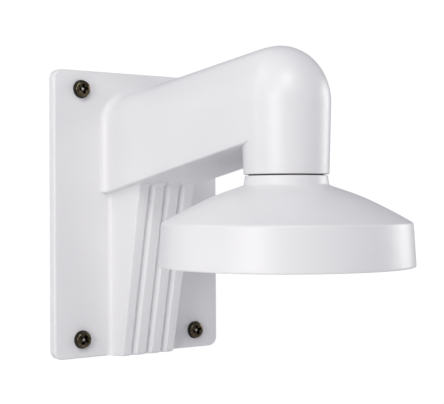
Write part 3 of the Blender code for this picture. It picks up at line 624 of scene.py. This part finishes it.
def addBracket():
    plan = bracketPlan
    wide, deep, tall = plan["flange"]
    piece = addCube("wallBracket", (-wide / 2, -deep, -tall / 2), (wide / 2, 0.0, tall / 2))
    softEdges(piece, lambda edge: abs(ends(edge)[0].y - ends(edge)[1].y) > 1.0, plan["flangeCorner"], 12)
    softEdges(piece, lambda edge: all(abs(end.y + deep) < 1e-3 for end in ends(edge)), plan["flangeEdge"], 6)

    depths = [(deep - 1.0, plan["rootRound"])]
    for i in range(13):
        depth = plan["rootRound"] * (1 - math.cos(math.pi / 2 * i / 12))
        depths.append((deep + max(depth, 0.004), spreadAt(max(depth, 0.004), plan["rootRound"])))
    depths += [(float(out), 0.0) for out in (30, 60, 90, 115, 134)]
    depths += [(plan["crownStraight"] + i, 0.0) for i in range(0, 17, 1)]
    depths.append((reach, 0.0))
    arm = armSkin("arm", 0.0, depths, True, plan["mouth"], 64, 5, 26)
    back = addRod("socketBack", plan["mouthHalf"] - 0.02, plan["mouth"], plan["shoulderElbow"] - 8.0,
                  (0, -reach, 0), "Z", 128,
                  between(plan["mouthHalf"], plan["elbowHalf"], (plan["shoulderElbow"] - 8.0 - plan["mouth"])
                          / (plan["shoulderElbow"] - plan["mouth"])) - 0.02)
    softEdges(back, lambda edge: all(abs(end.z - plan["mouth"]) < 1e-3 for end in ends(edge)),
              plan["mouthRound"], 5)
    merged(arm, back, "UNION")
    merged(piece, arm, "UNION")

    under = armFloor(plan["gussetFront"] + plan["gussetSlope"] * 18.0)
    fillet, foot = plan["gussetFillet"], plan["gussetFootRound"]
    levels = []
    for i in range(7):
        angle = math.pi / 2 * i / 6
        levels.append((plan["gussetFoot"] + foot * (1 - math.cos(angle)), -foot * (1 - math.sin(angle)), 1.0))
    levels += [(-50.0, 0.0, 1.0), (0.0, 0.0, 1.0)]
    for i in range(10):
        angle = math.pi / 2 * i / 9
        levels.append((under - fillet * (1 - math.sin(angle)), fillet * (1 - math.cos(angle)), 1.0))
    levels.append((under + 4.0, fillet, 1.0))
    gusset = loftAlong("gusset", [gussetSection(*level) for level in levels])
    merged(piece, gusset, "UNION")

    inner = [(-2.0, 0.0), (60.0, 0.0), (118.0, 0.0), (133.0, 0.0), (142.0, 0.0), (150.0, 0.0), (159.0, 0.0)]
    cavity = armSkin("cavity", plan["wall"], inner, True, 41.0, 24, 2, 8)
    half = 17.2
    hollow = []
    for height in (-87.5, 9.0):
        depth = plan["gussetFront"] + plan["gussetSlope"] * height - plan["grooveDepth"] - plan["wall"]
        hollow.append([(half, 2, height), (-half, 2, height), (-half, -depth, height), (half, -depth, height)])
    recess = addCube("recess", (-wide / 2 + plan["rim"], -plan["recess"], -tall / 2 + plan["rim"]),
                     (wide / 2 - plan["rim"], 1.0, tall / 2 - plan["rim"]))
    softEdges(recess, lambda edge: abs(ends(edge)[0].y - ends(edge)[1].y) > 1.0, 3.5, 6)
    spots = [(sx * plan["screwX"], 0.0, sz * plan["screwZ"]) for sx in (-1, 1) for sz in (1, -1)]
    merged(recess, joined("pads", [
        addRod("pad", plan["padRadius"], -8.0, -plan["padFace"], spot, "Y", 48) for spot in spots]))
    tap = ridgedRod("tap", 18.9, 19.85, 2.5, 18.5, 43.0, 19.2,
                    [(0.0, 0.0), (0.13, 0.0), (0.36, 1.0), (0.74, 1.0), (0.97, 0.0)])
    lockHole = addRod("lockHole", 2.3, 17.0, 27.0, (0, -reach, plan["lockHeight"]), "X", 32)
    holes = [addRod("hole", plan["screwHole"], -12.0, 2.0, spot, "Y", 40) for spot in spots]
    merged(piece, joined("insides", [cavity, loftAlong("hollow", hollow), recess, lockHole,
                                     shift(tap, (0, -reach, 0))] + holes), overlapping=True)
    # a stray sliver left by the cut is collapsed and cleared away
    editing(piece)
    pick(piece, "verts", lambda vert: any(len(edge.link_faces) == 1 for edge in vert.link_edges))
    bpy.ops.mesh.remove_doubles(threshold=0.02 * mm)
    bpy.ops.mesh.select_all(action="SELECT")
    bpy.ops.mesh.delete_loose()
    bpy.ops.object.mode_set(mode="OBJECT")
    return finished(piece, paint, "wall_bracket", "bracket", angle=32, slot="white_paint")


bracket = addBracket()
print("bracket made", len(bracket.data.polygons))


# cap
capPlan = dict(
    collar=22.5, collarTop=21.85, rim=69.4, foot=-27.0, steps=192, ribs=6, ribThick=2.4, bossRing=52.0,
    boss=4.6,
    bossFoot=-11.7, neckMinor=18.4, neckMajor=19.3, pitch=2.5, neckTop=40.0, bore=15.0, sealGroove=(20.1, 24.0),
    hookRing=19.9)


def addCap():
    plan = capPlan
    cone = smoothLine([(27.5, 15.3), (32.3, 13.7), (41.0, 10.4), (49.7, 6.3), (58.4, 1.8), (64.9, -1.85)], 5)
    outer = [(0.0, plan["collarTop"], 0), (plan["collar"], plan["collarTop"], 0.35), (22.95, 18.6, 0),
             (23.3, 16.72, 0.7)]
    outer += [(r, z, 0) for r, z in cone]
    outer += [(68.0, -3.65, 0.9), (plan["rim"] - 0.05, -25.4, 0), (plan["rim"], -26.2, 0),
              (plan["rim"] - 0.15, plan["foot"], 0.5)]
    inner = [(66.9, plan["foot"], 0.4), (65.3, -9.0, 0), (64.3, -5.6, 1.0), (57.0, -1.4, 0), (48.4, 3.1, 0),
             (40.0, 7.0, 0), (31.5, 10.3, 0.6), (25.0, 12.4, 0.8), (0.0, 12.4, 0)]
    piece = lathe("dishedCap", outer + inner, plan["steps"])

    ribs = []
    for k in range(plan["ribs"]):
        rib = addCube("rib", (18.0, -plan["ribThick"] / 2, -7.5), (65.8, plan["ribThick"] / 2, 2.0))
        editing(rib)
        pick(rib, "verts", lambda vert: vert.co.z > 0)
        nudge(rib, lambda spot: Vector((spot.x, spot.y * 1.15, 14.0 if spot.x < 30 else -3.2)))
        pick(rib, "verts", lambda vert: vert.co.z < -5 * mm and vert.co.x < 30 * mm)
        nudge(rib, lambda spot: Vector((spot.x, spot.y, 4.0)))
        bpy.ops.object.mode_set(mode="OBJECT")
        softEdges(rib, lambda edge: all(end.z < 5.0 for end in ends(edge)) and abs(
            ends(edge)[0].x - ends(edge)[1].x) > 10.0, 0.4, 2)
        ribs.append(shift(rib, (0, 0, 0), Matrix.Rotation(math.radians(60 * k + 30), 4, "Z")))
    bosses, pilots = [], []
    for k in range(3):
        turn = math.radians(120 * k + 90)
        spot = (plan["bossRing"] * math.cos(turn), plan["bossRing"] * math.sin(turn), 0.0)
        boss = addRod("boss", plan["boss"] - 0.2, plan["bossFoot"], 0.0, spot, "Z", 48, plan["boss"])
        editing(boss)
        pick(boss, "verts", lambda vert: vert.co.z > -mm)
        nudge(boss, lambda at: Vector((at.x, at.y, 2.9 - 0.52 * (at.xy.length - plan["bossRing"]))))
        bpy.ops.object.mode_set(mode="OBJECT")
        bosses.append(softEdges(boss, lambda edge: all(
            abs(end.z - plan["bossFoot"]) < 1e-3 for end in ends(edge)), 0.35, 3))
        pilots.append(addRod("pilot", 2.2, -14.0, 0.5, spot, "Z", 32))
    neck = addRod("neck", plan["neckMinor"], 16.0, plan["neckTop"], (0, 0, 0), "Z", 144)
    ridge = ridgedRod("ridge", plan["neckMinor"] - 0.02, plan["neckMajor"], plan["pitch"], 24.05, 38.4, 24.2,
                      [(0.0, 0.0), (0.25, 0.0), (0.48, 1.0), (0.62, 1.0), (0.85, 0.0)])
    merged(piece, joined("additions", ribs + bosses + [neck, ridge]), "UNION", overlapping=True)

    low, high = plan["sealGroove"]
    groove = lathe("groove", [(plan["neckMinor"], low, 0), (24.5, low, 0), (24.5, high, 0),
                              (plan["neckMinor"], high, 0)], 144, closed=True)
    shoulder = lathe("shoulder", [(21.3, low - 0.01, 0), (26.0, low - 0.01, 0), (26.0, high + 0.5, 0),
                                  (21.3, high + 0.5, 0)], 144, closed=True)
    merged(groove, shoulder)
    bore = lathe("bore", [
        (0, 8, 0), (plan["bore"] + 1, 8, 0), (plan["bore"] + 1, 11.9, 0), (plan["bore"], 13.4, 0.3),
        (plan["bore"], 38.4, 0.4), (plan["bore"] + 1.9, 40.3, 0), (plan["bore"] + 1.9, 44, 0), (0, 44, 0)], 96)
    taper = lathe("taper", [(plan["neckMinor"] - 0.9, 40.1, 0), (22.0, 40.1, 0), (22.0, 37.6, 0),
                            (plan["neckMajor"] + 0.2, 37.6, 0)], 144, closed=True)
    hookHole = addRod("hookHole", 2.0, 8.0, 18.2, (plan["hookRing"], 0, 0), "Z", 32)
    merged(piece, joined("cuts", [groove, bore, taper, hookHole] + pilots), overlapping=True)
    shift(piece, (0, -reach, 0))
    return finished(piece, paint, "cap_assembly", "cap", angle=30, slot="white_paint")


cap = addCap()
print("cap made", len(cap.data.polygons))


# screws and washers
def crossCut(reachOut, depth, half, height):
    # tools for a cross recess: two tapered bars and a pointed pit, opening at a height
    tools = []
    for quarter in range(2):
        bar = addCube("bar", (-reachOut, -half, height - depth), (reachOut, half, height + 0.6))
        editing(bar)
        pick(bar, "verts", lambda vert: vert.co.z < (height - depth / 2) * mm)
        bpy.ops.transform.resize(value=(0.6, 0.72, 1.0), center_override=(0, 0, 0))
        bpy.ops.object.mode_set(mode="OBJECT")
        softEdges(bar, lambda edge: abs(ends(edge)[0].z - ends(edge)[1].z) > depth / 2, half * 0.55, 3)
        tools.append(shift(bar, (0, 0, 0), Matrix.Rotation(math.radians(90 * quarter), 4, "Z")))
    pit = addRod("pit", half * 0.35, height - depth - 0.25, height + 0.6, (0, 0, 0), "Z", 24, half * 1.9)
    tools.append(pit)
    return joined("crossCut", tools)


def addScrew(name, plan):
    # a pan head with its seat at z = 0 and a threaded shank below, pointing up
    head, tall, shank, long = plan["head"], plan["tall"], plan["shank"], plan["long"]
    outline = [(0.0, tall * 1.0, 0)]
    for i in range(11):
        turn = math.radians(86 - 86 * i / 10)
        outline.append((head * (0.55 + 0.45 * math.cos(turn)), tall * (0.36 + 0.64 * math.sin(turn)), 0))
    outline += [(head, tall * 0.2, 0), (head * 0.97, 0.0, 0.12), (shank * 0.98, 0.0, 0.1),
                (shank * 0.98, -0.5, 0), (shank * 0.8, -0.8, 0), (shank * 0.8, -long + 0.6, 0),
                (shank * 0.5, -long, 0), (0.0, -long, 0)]
    piece = lathe(name, outline, 64)
    merged(piece, crossCut(*plan["cross"], tall), overlapping=True)
    thread = ridgedRod("thread", shank * 0.79, shank * 0.99, plan["pitch"], -long + 0.7, -0.8, -long + 0.5,
                       [(0.0, 0.0), (0.1, 0.0), (0.46, 1.0), (0.54, 1.0), (0.9, 0.0)], 24)
    merged(piece, thread, "UNION")
    return piece


cornerScrew = dict(head=5.3, tall=2.5, shank=2.4, long=7.4, pitch=0.8, cross=(3.6, 1.6, 1.05))
plateScrew = dict(head=3.8, tall=2.4, shank=1.9, long=9.0, pitch=0.7, cross=(2.4, 1.4, 0.6))
hookScrew = dict(head=2.7, tall=1.9, shank=1.7, long=6.8, pitch=0.7, cross=(1.6, 1.2, 0.4))
fixingPlan = dict(  # distances of the seats from the wall, and the places of the screws inside the cap
    screwSeat=8.0, washerSeat=6.8, nutSeat=0.4, washer=(2.7, 5.8, 0.9), nut=(3.8, 1.9), plateRing=52.0,
    plateSeat=-13.8, hookSeat=10.3)
cornerTurns = dict(left_top=8, left_bottom=-27, right_top=40, right_bottom=19)
outward = Matrix.Rotation(math.radians(90), 4, "X")  # turns +Z to point away from the wall
downward = Matrix.Rotation(math.radians(180), 4, "X")


def addFixings(plan):
    screw = addScrew("cornerScrewModel", cornerScrew)
    bore, edge, thick = plan["washer"]
    washer = lathe("washerModel", [(bore, 0.0, 0.1), (edge, 0.0, 0.25), (edge, thick, 0.3), (bore, thick, 0.1)],
                   72, closed=True)
    nut = addRod("nutModel", plan["nut"][0], 0.0, plan["nut"][1], (0, 0, 0), "Z", 48)
    editing(nut)
    pick(nut, "verts", lambda vert: int(round(math.degrees(math.atan2(vert.co.y, vert.co.x)) / 7.5)) % 2 == 0)
    bpy.ops.transform.resize(value=(0.95, 0.95, 1.0), center_override=(0, 0, 0))
    bpy.ops.object.mode_set(mode="OBJECT")
    merged(nut, ridgedRod("nutThread", 2.45, 2.7, 0.8, -0.5, 2.4, -0.4,
                          [(0.0, 0.0), (0.1, 0.0), (0.46, 1.0), (0.54, 1.0), (0.9, 0.0)], 24))
    for corner, turn in cornerTurns.items():
        x = bracketPlan["screwX"] * (-1 if corner.startswith("left") else 1)
        z = bracketPlan["screwZ"] * (1 if corner.endswith("top") else -1)
        spin = outward @ Matrix.Rotation(math.radians(turn), 4, "Z")
        label = corner.title().replace("_", "")
        placed = shift(copied(screw, "cornerScrew" + label), (x, -plan["screwSeat"], z), spin)
        finished(placed, bronze, "wall_bracket", "corner_screw_" + corner, slot="bronze_screw")
        placed = shift(copied(washer, "screwWasher" + label), (x, -plan["washerSeat"], z), spin)
        finished(placed, rubber, "wall_bracket", "screw_washer_" + corner, slot="black_rubber")
        placed = shift(copied(nut, "clinchNut" + label), (x, -plan["nutSeat"], z), spin)
        finished(placed, zinc, "wall_bracket", "clinch_nut_" + corner, slot="zinc_steel")
    for model in (screw, washer, nut):
        bpy.data.objects.remove(model)

    screw = addScrew("plateScrewModel", plateScrew)
    for k in range(3):
        turn = math.radians(120 * k + 90)
        ring = plan["plateRing"]
        spot = (ring * math.cos(turn), -reach + ring * math.sin(turn), plan["plateSeat"])
        spin = downward @ Matrix.Rotation(math.radians(25 + 37 * k), 4, "Z")
        placed = shift(copied(screw, "plateScrew%d" % (k + 1)), spot, spin)
        finished(placed, zinc, "cap_assembly", "plate_screw_%d" % (k + 1), slot="zinc_steel")
    bpy.data.objects.remove(screw)
    screw = addScrew("lanyardScrew", hookScrew)
    shift(screw, (capPlan["hookRing"], -reach, plan["hookSeat"]), downward)
    finished(screw, zinc, "cap_assembly", "lanyard_screw", slot="zinc_steel")


addFixings(fixingPlan)
print("screws, washers and nuts made")


# behind the flange
rearPlan = dict(
    plate=(110.4, 2.0, 168.8), corner=3.0, wallHole=(44.0, 45.0), cableHole=16.0, nutHole=4.1,
    gasket=(117.0, 3.0, 175.4), gasketWidth=3.0)


def addRearPlate():
    wide, thick, tall = rearPlan["plate"]
    piece = addCube("rearPlate", (-wide / 2, -thick, -tall / 2), (wide / 2, 0.0, tall / 2))
    softEdges(piece, lambda edge: abs(ends(edge)[0].y - ends(edge)[1].y) > 1.0, rearPlan["corner"], 8)
    softEdges(piece, lambda edge: abs(ends(edge)[0].y - ends(edge)[1].y) < 1e-3, 0.2, 2)
    tools = [addRod("cableHole", rearPlan["cableHole"], -3.0, 1.0, (0, 0, bracketPlan["cableHeight"]), "Y", 96)]
    for sx in (-1, 1):
        for sz in (-1, 1):
            spot = (sx * bracketPlan["screwX"], 0, sz * bracketPlan["screwZ"])
            tools.append(addRod("nutHole", rearPlan["nutHole"], -3.0, 1.0, spot, "Y", 48))
            sink = lathe("sink", [(0, -1, 0), (2.75, -1, 0), (2.75, 0.6, 0), (4.65, 2.5, 0), (0, 2.5, 0)], 48)
            x, z = rearPlan["wallHole"]
            tools.append(shift(sink, (sx * x, 0, sz * z), outward))
    merged(piece, joined("plateHoles", tools))
    return finished(piece, zinc, "wall_bracket", "rear_plate", slot="zinc_steel")


def addGasket():
    wide, thick, tall = rearPlan["gasket"]
    piece = addCube("flangeGasket", (-wide / 2, -thick, -tall / 2), (wide / 2, 0.0, tall / 2))
    softEdges(piece, lambda edge: abs(ends(edge)[0].y - ends(edge)[1].y) > 1.0, 3.2, 8)
    width = rearPlan["gasketWidth"]
    inner = addCube("inner", (-wide / 2 + width, -thick - 1, -tall / 2 + width),
                    (wide / 2 - width, 1.0, tall / 2 - width))
    softEdges(inner, lambda edge: abs(ends(edge)[0].y - ends(edge)[1].y) > 1.0, 3.3, 8)
    merged(piece, inner)
    softEdges(piece, lambda edge: abs(ends(edge)[0].y - ends(edge)[1].y) < 1e-3, 0.3, 3)
    return finished(piece, foam, "wall_bracket", "flange_gasket", slot="grey_foam")


grommetPlan = dict(bore=12.2, neck=15.7, lip=18.0, lipFoot=2.3, lipTop=3.6, top=4.4)


def addGrommet():
    plan = grommetPlan
    bore, neck, lip, top = plan["bore"], plan["neck"], plan["lip"], plan["top"]
    piece = lathe("cableGrommet", [
        (bore, 0.0, 0.3), (neck, 0.0, 0.3), (neck, plan["lipFoot"], 0), (lip, plan["lipFoot"], 0.25),
        (lip, plan["lipTop"], 0.3), (lip - 1.0, top, 0.3), (bore + 0.4, top, 0.3), (bore, top - 0.4, 0)],
        96, closed=True)
    shift(piece, (0, 0, bracketPlan["cableHeight"]), outward)
    return finished(piece, rubber, "wall_bracket", "cable_grommet", slot="black_rubber")


addRearPlate()
addGasket()
addGrommet()
print("rear plate, gasket and grommet made")


# inside the cap and the socket
neckSealPlan = dict(ring=20.05, height=21.35, bead=0.95, flat=0.02, corners=20)


def addNeckSeal():
    plan = neckSealPlan
    outline = []
    for k in range(plan["corners"]):
        turn = 2 * math.pi * k / plan["corners"]
        bead = plan["bead"] if k % 10 else plan["bead"] - plan["flat"]
        rise = plan["bead"] * math.sin(turn)
        outline.append((plan["ring"] + bead * math.cos(turn), plan["height"] + rise, 0))
    piece = lathe("neckSeal", outline, 120, closed=True)
    shift(piece, (0, -reach, 0))
    return finished(piece, rubber, "neck_ring", "neck_seal", angle=60, slot="black_rubber")


def curvedSlot(name, radius, half, start, end):
    ring = []
    for side, turns in ((1, range(13)), (-1, range(12, -1, -1))):
        for i in turns:
            turn = math.radians(start + (end - start) * i / 12)
            ring.append(((radius + side * half) * math.cos(turn), (radius + side * half) * math.sin(turn)))
        last = math.radians(end if side == 1 else start)
        for k in range(1, 8):
            bend = math.pi * k / 8
            out = half * math.cos(bend) * side
            along = half * math.sin(bend) * side
            ring.append(((radius + out) * math.cos(last) - along * math.sin(last),
                         (radius + out) * math.sin(last) + along * math.cos(last)))
    return loftAlong(name, [[(x, y, z) for x, y in ring] for z in (-16.0, -10.0)])


cameraPlatePlan = dict(bore=30.0, edge=63.6, low=-13.5, high=-12.0, screwHole=2.3, slotRings=(38.0, 47.5),
                       slotHalf=2.1, slotTurns=(14, 46))


def addCameraPlate():
    plan = cameraPlatePlan
    bore, edge, low, high = plan["bore"], plan["edge"], plan["low"], plan["high"]
    piece = lathe("cameraPlate", [(bore, low, 0.2), (edge, low, 0.25), (edge, high, 0.25), (bore, high, 0.2)],
                  192, closed=True)
    tools = []
    ring = fixingPlan["plateRing"]
    for k in range(3):
        turn = math.radians(120 * k + 90)
        spot = (ring * math.cos(turn), ring * math.sin(turn), 0)
        tools.append(addRod("screwHole", plan["screwHole"], -16.0, -10.0, spot, "Z", 40))
        start, end = [120 * k + bend for bend in plan["slotTurns"]]
        for radius in plan["slotRings"]:
            tools.append(curvedSlot("slot", radius, plan["slotHalf"], start, end))
    merged(piece, joined("plateCuts", tools))
    shift(piece, (0, -reach, 0))
    return finished(piece, zinc, "cap_assembly", "camera_plate", slot="zinc_steel")


cameraSealPlan = dict(bore=58.2, edge=63.4, low=-16.4, high=-13.8)


def addCameraSeal():
    plan = cameraSealPlan
    bore, edge, low, high = plan["bore"], plan["edge"], plan["low"], plan["high"]
    piece = lathe("cameraSeal", [(bore, low, 0.45), (edge, low, 0.45), (edge, high, 0.3), (bore, high, 0.3)],
                  192, closed=True)
    shift(piece, (0, -reach, 0))
    return finished(piece, foam, "cap_assembly", "camera_seal", slot="grey_foam")


hookPlan = dict(inner=16.8, outer=24.6, half=5.0, top=12.1, thick=1.5, foot=-9.0, screwHole=2.2, eye=2.6,
                eyeHeight=-4.0)


def addHook():
    # a strip bent down at a right angle, with a screw hole and an eye
    plan = hookPlan
    inner, outer, half, top, foot = plan["inner"], plan["outer"], plan["half"], plan["top"], plan["foot"]
    under = top - plan["thick"]
    inside = outer - plan["thick"]
    piece = addCube("lanyardHook", (inner, -half, under), (outer, half, top))
    merged(piece, addCube("leg", (inside, -half, foot), (outer, half, top - 0.5)), "UNION")
    for x, z, width, segments in ((outer, top, 1.4, 6), (inside, under, 0.5, 3)):
        softEdges(piece, lambda edge: all(
            abs(end.x - x) < 1e-3 and abs(end.z - z) < 1e-3 for end in ends(edge)), width, segments)
    softEdges(piece, lambda edge: abs(ends(edge)[0].x - ends(edge)[1].x) > 1.2 and all(
        end.z < foot + 0.1 for end in ends(edge)), 3.5, 8)
    softEdges(piece, lambda edge: abs(ends(edge)[0].z - ends(edge)[1].z) > 1.2 and all(
        end.x < inner + 0.1 for end in ends(edge)), 2.0, 6)
    merged(piece, joined("hookCuts", [
        addRod("hookHole", plan["screwHole"], 5.0, 20.0, (capPlan["hookRing"], 0, 0), "Z", 40),
        addRod("eye", plan["eye"], 20.0, 30.0, (0, 0, plan["eyeHeight"]), "X", 48)]))
    edge = piece.modifiers.new("edge", "BEVEL")
    edge.width = 0.15 * mm
    edge.segments = 2
    edge.limit_method = "ANGLE"
    edge.angle_limit = math.radians(50)
    deselectAll()
    bpy.context.view_layer.objects.active = piece
    bpy.ops.object.modifier_apply(modifier=edge.name)
    shift(piece, (0, -reach, 0))
    return finished(piece, zinc, "cap_assembly", "lanyard_hook", slot="zinc_steel")


lockPlan = dict(pad=(1.9, 19.65, 20.75), grub=(1.95, 21.05, 23.65), chamfer=0.35, key=1.15, keyDepth=22.0)


def addLock():
    # both lie sideways in the socket's wall: the soft pad inside, the grub screw behind it
    sideways = Matrix.Rotation(math.radians(90), 4, "Y")
    place = (0, -reach, bracketPlan["lockHeight"])
    radius, start, end = lockPlan["pad"]
    pad = lathe("lockPad", [(0, start, 0), (radius, start, 0.2), (radius, end, 0.2), (0, end, 0)], 40)
    shift(pad, place, sideways)
    finished(pad, nylon, "wall_bracket", "lock_pad", slot="nylon")
    radius, start, end = lockPlan["grub"]
    chamfer = lockPlan["chamfer"]
    grub = lathe("lockScrew", [
        (0, start, 0), (radius - chamfer, start, 0), (radius, start + chamfer, 0), (radius, end - 0.25, 0),
        (radius - 0.25, end, 0.06), (0, end, 0)], 48)
    merged(grub, addRod("key", lockPlan["key"], lockPlan["keyDepth"], 25.0, (0, 0, 0), "Z", 6))
    shift(grub, place, sideways)
    finished(grub, oxide, "wall_bracket", "lock_screw", slot="black_oxide")


addNeckSeal()
addCameraPlate()
addCameraSeal()
addHook()
addLock()
print("pieces inside the cap and socket made")


# floor, lights and camera
stagePlan = dict(  # in metres and degrees
    floorHeight=-0.72, floorRadius=2.2, skyShown=(1.03, 1.03, 1.03), skyLight=(0.215, 0.215, 0.262),
    centre=(0.0, -0.1, 0.0), cameraSide=-125.7, boxReach=2.0, boxSize=0.9, boxColour=(1.0, 0.985, 0.95))
softboxes = dict(  # turn from the camera's side and lift, in degrees, and power in watts
    left=(-30, 8, 14.2), overhead=(0, 42, 14.8), highRight=(30, 42, 1.8), highLeft=(-90, 42, 4.7),
    farLeft=(-90, 8, 2.8), behindLeft=(-120, 8, 1.6), highBehind=(-150, 42, 1.6), right=(107, 8, 6.8),
    behindRight=(121, 8, 9.3))
cameraPlan = dict(place=(-0.37422, -0.61988, 0.0095), turn=0.6231, tilt=-0.0029, roll=-0.0037, lens=88.59)


def addFloor(plan):
    # a low round stand of pale paper, its edge rolled over
    deselectAll()
    bpy.ops.mesh.primitive_cylinder_add(vertices=128, radius=plan["floorRadius"], depth=0.02,
                                        location=(0, -0.1, plan["floorHeight"] - 0.01))
    floor = named("paleFloor")
    bpy.ops.object.transform_apply(location=True, rotation=True, scale=True)
    softEdges(floor, lambda edge: all(end.z > plan["floorHeight"] / mm - 1.0 for end in ends(edge)), 8.0, 4)
    bpy.ops.object.shade_smooth_by_angle(angle=math.radians(40))
    made = Finish("floorPaper", Roughness=0.9)
    tone = made.noise(3.0, 2.0, 0.5)
    colour = made.blend(made.span(tone, 0.3, 0.7), (0.88, 0.88, 0.88, 1), (0.91, 0.91, 0.91, 1))
    floor.data.materials.append(made.feed(Base_Color=colour))


def addSoftbox(name, plan, turn, lift, power):
    deselectAll()
    light = bpy.data.lights.new(name, "AREA")
    light.shape = "SQUARE"
    light.size = plan["boxSize"]
    light.energy = power
    light.color = plan["boxColour"]
    holder = bpy.data.objects.new(name, light)
    bpy.context.scene.collection.objects.link(holder)
    bearing = math.radians(plan["cameraSide"]) + turn
    way = Vector((math.cos(lift) * math.cos(bearing), math.cos(lift) * math.sin(bearing), math.sin(lift)))
    holder.location = Vector(plan["centre"]) + way * plan["boxReach"]
    holder.rotation_euler = (-way).to_track_quat("-Z", "Y").to_euler()


def addSky(plan):
    # a white surround that looks brighter than the light it gives
    world = bpy.data.worlds.new("studioSky")
    bpy.context.scene.world = world
    world.use_nodes = True
    tree = world.node_tree
    sky = tree.nodes["Background"]
    seen = tree.nodes.new("ShaderNodeLightPath")
    level = tree.nodes.new("ShaderNodeMix")
    level.data_type = "RGBA"
    level.inputs[6].default_value = (*plan["skyLight"], 1)
    level.inputs[7].default_value = (*plan["skyShown"], 1)
    tree.links.new(seen.outputs["Is Camera Ray"], level.inputs[0])
    tree.links.new(level.outputs[2], sky.inputs["Color"])


def addCamera(plan):
    camera = bpy.data.cameras.new("viewCamera")
    camera.lens = plan["lens"]
    camera.sensor_width = 36.0
    camera.sensor_fit = "HORIZONTAL"
    camera.clip_start = 0.01
    camera.clip_end = 100.0
    holder = bpy.data.objects.new("viewCamera", camera)
    bpy.context.scene.collection.objects.link(holder)
    turn, tilt = plan["turn"], plan["tilt"]
    forward = Vector((math.cos(tilt) * math.sin(turn), math.cos(tilt) * math.cos(turn), math.sin(tilt)))
    right = Vector((math.cos(turn), -math.sin(turn), 0.0))
    up = right.cross(forward)
    c, s = math.cos(plan["roll"]), math.sin(plan["roll"])
    right, up = c * right + s * up, c * up - s * right
    basis = Matrix((right, up, -forward)).transposed().to_4x4()
    basis.translation = Vector(plan["place"])
    holder.matrix_world = basis
    bpy.context.scene.camera = holder


addFloor(stagePlan)
for name, (turn, lift, power) in softboxes.items():
    addSoftbox(name, stagePlan, math.radians(turn), math.radians(lift), power)
addSky(stagePlan)
bpy.context.scene.view_settings.view_transform = "Standard"
addCamera(cameraPlan)
print("stage and camera set")
